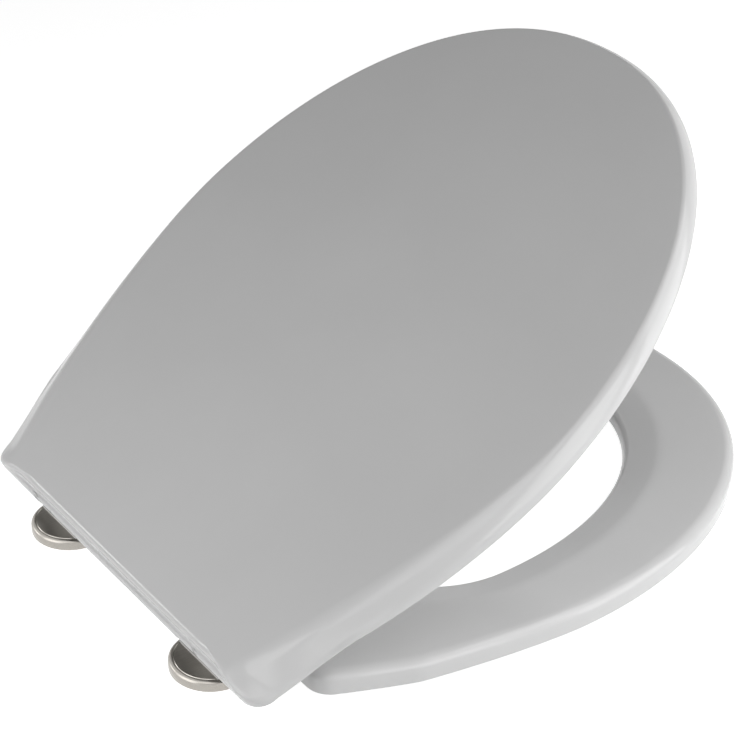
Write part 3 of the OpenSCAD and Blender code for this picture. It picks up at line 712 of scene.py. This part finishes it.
# %% White shell
def shell_white():
    mat, nodes, links, shader = new_material("shell_white")
    links.new(ramp(nodes, links, noise(nodes, links, 9, 3), (0.79, 0.79, 0.79), (0.82, 0.82, 0.82)),
              shader.inputs["Base Color"])
    links.new(spread(nodes, links, noise(nodes, links, 40, 4), 0.1, 0.16), shader.inputs["Roughness"])
    links.new(bump(nodes, links, noise(nodes, links, 14, 1), 0.05, 0.001), shader.inputs["Normal"])
    shader.inputs["IOR"].default_value = 1.5
    shader.inputs["Subsurface Weight"].default_value = 0.0
    return mat


# %% Stainless, pins, plastic and rubber
def stainless():
    mat, nodes, links, shader = new_material("stainless")
    grain = noise(nodes, links, 2500, 2, stretch=(1, 0.05, 1))
    links.new(ramp(nodes, links, grain, (0.36, 0.34, 0.31), (0.43, 0.41, 0.38)), shader.inputs["Base Color"])
    links.new(spread(nodes, links, grain, 0.26, 0.32), shader.inputs["Roughness"])
    links.new(bump(nodes, links, grain, 0.04, 0.0001), shader.inputs["Normal"])
    shader.inputs["Metallic"].default_value = 1.0
    return mat


def pin_steel():
    mat, nodes, links, shader = new_material("pin_steel")
    grain = noise(nodes, links, 400, 2, stretch=(0.05, 1, 1))
    links.new(ramp(nodes, links, grain, (0.42, 0.42, 0.42), (0.52, 0.52, 0.51)), shader.inputs["Base Color"])
    links.new(spread(nodes, links, grain, 0.18, 0.3), shader.inputs["Roughness"])
    shader.inputs["Metallic"].default_value = 1.0
    return mat


def hinge_plastic():
    mat, nodes, links, shader = new_material("hinge_plastic")
    links.new(ramp(nodes, links, noise(nodes, links, 60, 3), (0.76, 0.76, 0.75), (0.8, 0.8, 0.79)),
              shader.inputs["Base Color"])
    links.new(spread(nodes, links, noise(nodes, links, 300, 4), 0.3, 0.42), shader.inputs["Roughness"])
    links.new(bump(nodes, links, noise(nodes, links, 900, 2), 0.1, 0.0002), shader.inputs["Normal"])
    return mat


def soft_rubber():
    mat, nodes, links, shader = new_material("soft_rubber")
    links.new(ramp(nodes, links, noise(nodes, links, 120, 3), (0.5, 0.5, 0.49), (0.58, 0.58, 0.57)),
              shader.inputs["Base Color"])
    links.new(spread(nodes, links, noise(nodes, links, 500, 3), 0.6, 0.8), shader.inputs["Roughness"])
    links.new(bump(nodes, links, noise(nodes, links, 1500, 3), 0.2, 0.0003), shader.inputs["Normal"])
    return mat


SHELL, STEEL, PIN, PLASTIC, RUBBER = shell_white(), stainless(), pin_steel(), hinge_plastic(), soft_rubber()
print("materials:", len(bpy.data.materials))

# %% [markdown]
# Every new piece takes a material and rides on the body it moves with. The nodes that keep their
# imported shape only get the finish.

# %% Finishes and bodies
def dress(obj, material, body):
    obj.data.materials.clear()
    obj.data.materials.append(material)
    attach(obj, body)


for piece in [lid_shell] + lugs["lid"]:
    dress(piece, SHELL, "lid")
for piece in [ring_shell] + lugs["ring"]:
    dress(piece, SHELL, "ring")
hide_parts("lid")
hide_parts("ring")
for disc, side in zip(discs, ("left", "right")):
    dress(disc, STEEL, "fixings")
    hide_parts(f"cover_disc_{side}")

NODE_FINISH = {"gasket": RUBBER, "hinge_base": PLASTIC, "pillar": PLASTIC, "pin": PIN,
               "inner_sleeve": PLASTIC, "outer_sleeve": PLASTIC, "grub_screw": PIN,
               "ring_bush": PLASTIC, "lid_bush": PLASTIC, "ring_buffer": RUBBER, "lid_buffer": RUBBER}
for name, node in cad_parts.items():
    for start, material in NODE_FINISH.items():
        if name.startswith(start + "_"):
            node.data.materials.clear()
            node.data.materials.append(material)
print("finished nodes:", len(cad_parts))

# %% [markdown]
# The camera repeats the photograph's: a long lens from the rear right, about thirty degrees above.
# Its place was found by fitting the outline of the lid, the hole and the two discs.

# %% Camera
PHOTO_PX = 736
CAM_AZIMUTH = 53.895
CAM_ELEVATION = 31.488
CAM_ROLL = 0.751
CAM_DISTANCE = 1466.0
CAM_LOOK_AT = (-116.94, 249.23, 8.72)
CAM_FOCAL_PX = 2158.0
SENSOR_MM = 36.0


def add_camera():
    a, e, r = (math.radians(v) for v in (CAM_AZIMUTH, CAM_ELEVATION, CAM_ROLL))
    back = Vector((math.sin(a) * math.cos(e), -math.cos(a) * math.cos(e), math.sin(e)))
    right = Vector((math.cos(a), math.sin(a), 0))
    up = back.cross(right)
    right, up = (math.cos(r) * right + math.sin(r) * up, -math.sin(r) * right + math.cos(r) * up)
    data = bpy.data.cameras.new("camera")
    data.sensor_width = SENSOR_MM
    data.lens = CAM_FOCAL_PX / PHOTO_PX * SENSOR_MM
    data.clip_end = 20
    camera = bpy.data.objects.new("camera", data)
    place = Vector(CAM_LOOK_AT) * MM + back * CAM_DISTANCE * MM
    camera.matrix_world = Matrix((right, up, back)).transposed().to_4x4()
    camera.location = place
    bpy.context.scene.collection.objects.link(camera)
    bpy.context.scene.camera = camera
    return camera


camera = add_camera()
print("lens", round(camera.data.lens, 1), "mm")

# %% [markdown]
# Soft studio light: wide lamps from the rear, the right and the front, of which the lower ones give
# the panel its gradient, and a narrow one at the rear left that draws the line along the rear edge.
# The powers were found by a fit: each lamp rendered alone, and their sum compared with the photograph.
# The floor and the surroundings look white to the camera and in reflections, and the floor keeps a
# soft shadow because only a part of its brightness is its own.

# %% Lights, floor and surroundings
def area_lamp(name, place, target, size, power):
    data = bpy.data.lights.new(name, "AREA")
    data.shape = "RECTANGLE"
    data.size, data.size_y = size
    data.energy = power
    lamp = bpy.data.objects.new(name, data)
    lamp.location = place
    lamp.rotation_euler = (Vector(target) - Vector(place)).to_track_quat("-Z", "Y").to_euler()
    bpy.context.scene.collection.objects.link(lamp)
    return lamp


LIT_PLACE = (0, 0.15, 0.08)
area_lamp("rear", (0.0, -0.62, 0.29), LIT_PLACE, (0.6, 0.6), 1.95)
area_lamp("rear_right", (0.7, -0.55, 1.07), LIT_PLACE, (0.8, 0.8), 2.2)
area_lamp("right", (1.32, 0.15, 0.56), LIT_PLACE, (0.8, 0.8), 3.9)
area_lamp("right_low", (0.75, 0.35, 0.29), LIT_PLACE, (0.6, 0.6), 0.5)
area_lamp("front_right_low", (0.96, 1.11, 0.44), LIT_PLACE, (0.8, 0.8), 4.8)
area_lamp("front_right_high", (0.7, 0.85, 1.07), LIT_PLACE, (0.8, 0.8), 3.5)
area_lamp("front", (0.0, 1.47, 0.56), LIT_PLACE, (0.8, 0.8), 0.8)
area_lamp("rear_left_strip", (-0.91, -0.73, 0.35), LIT_PLACE, (0.5, 0.14), 1.45)


def seen_directly(nodes, links):
    """1 for camera, glossy and transmission rays, 0 for the light that lands on pieces."""
    path = nodes.new("ShaderNodeLightPath")
    total = None
    for output in ("Is Camera Ray", "Is Glossy Ray", "Is Transmission Ray"):
        if total is None:
            total = path.outputs[output]
            continue
        add = nodes.new("ShaderNodeMath")
        add.operation = "MAXIMUM"
        links.new(total, add.inputs[0])
        links.new(path.outputs[output], add.inputs[1])
        total = add.outputs[0]
    return total


def add_world(ambient):
    world = bpy.data.worlds.new("studio")
    bpy.context.scene.world = world
    world.use_nodes = True
    nodes, links = world.node_tree.nodes, world.node_tree.links
    background = nodes["Background"]
    background.inputs["Color"].default_value = (1, 1, 1, 1)
    strength = spread(nodes, links, seen_directly(nodes, links), ambient, 1.0)
    links.new(strength, background.inputs["Strength"])


def add_floor():
    bm = bmesh.new()
    bmesh.ops.create_grid(bm, x_segments=1, y_segments=1, size=6)
    mesh = bpy.data.meshes.new("floor")
    bm.to_mesh(mesh)
    bm.free()
    floor = bpy.data.objects.new("floor", mesh)
    bpy.context.scene.collection.objects.link(floor)
    mat, nodes, links, shader = new_material("floor_pale")
    shader.inputs["Base Color"].default_value = (0.8, 0.8, 0.8, 1)
    shader.inputs["Roughness"].default_value = 0.9
    shader.inputs["Specular IOR Level"].default_value = 0.0
    shader.inputs["Emission Color"].default_value = (1, 1, 1, 1)
    strength = spread(nodes, links, seen_directly(nodes, links), 0.0, 0.85)
    links.new(strength, shader.inputs["Emission Strength"])
    floor.data.materials.append(mat)


add_world(0.0)
add_floor()
bpy.context.scene.view_settings.view_transform = "Standard"
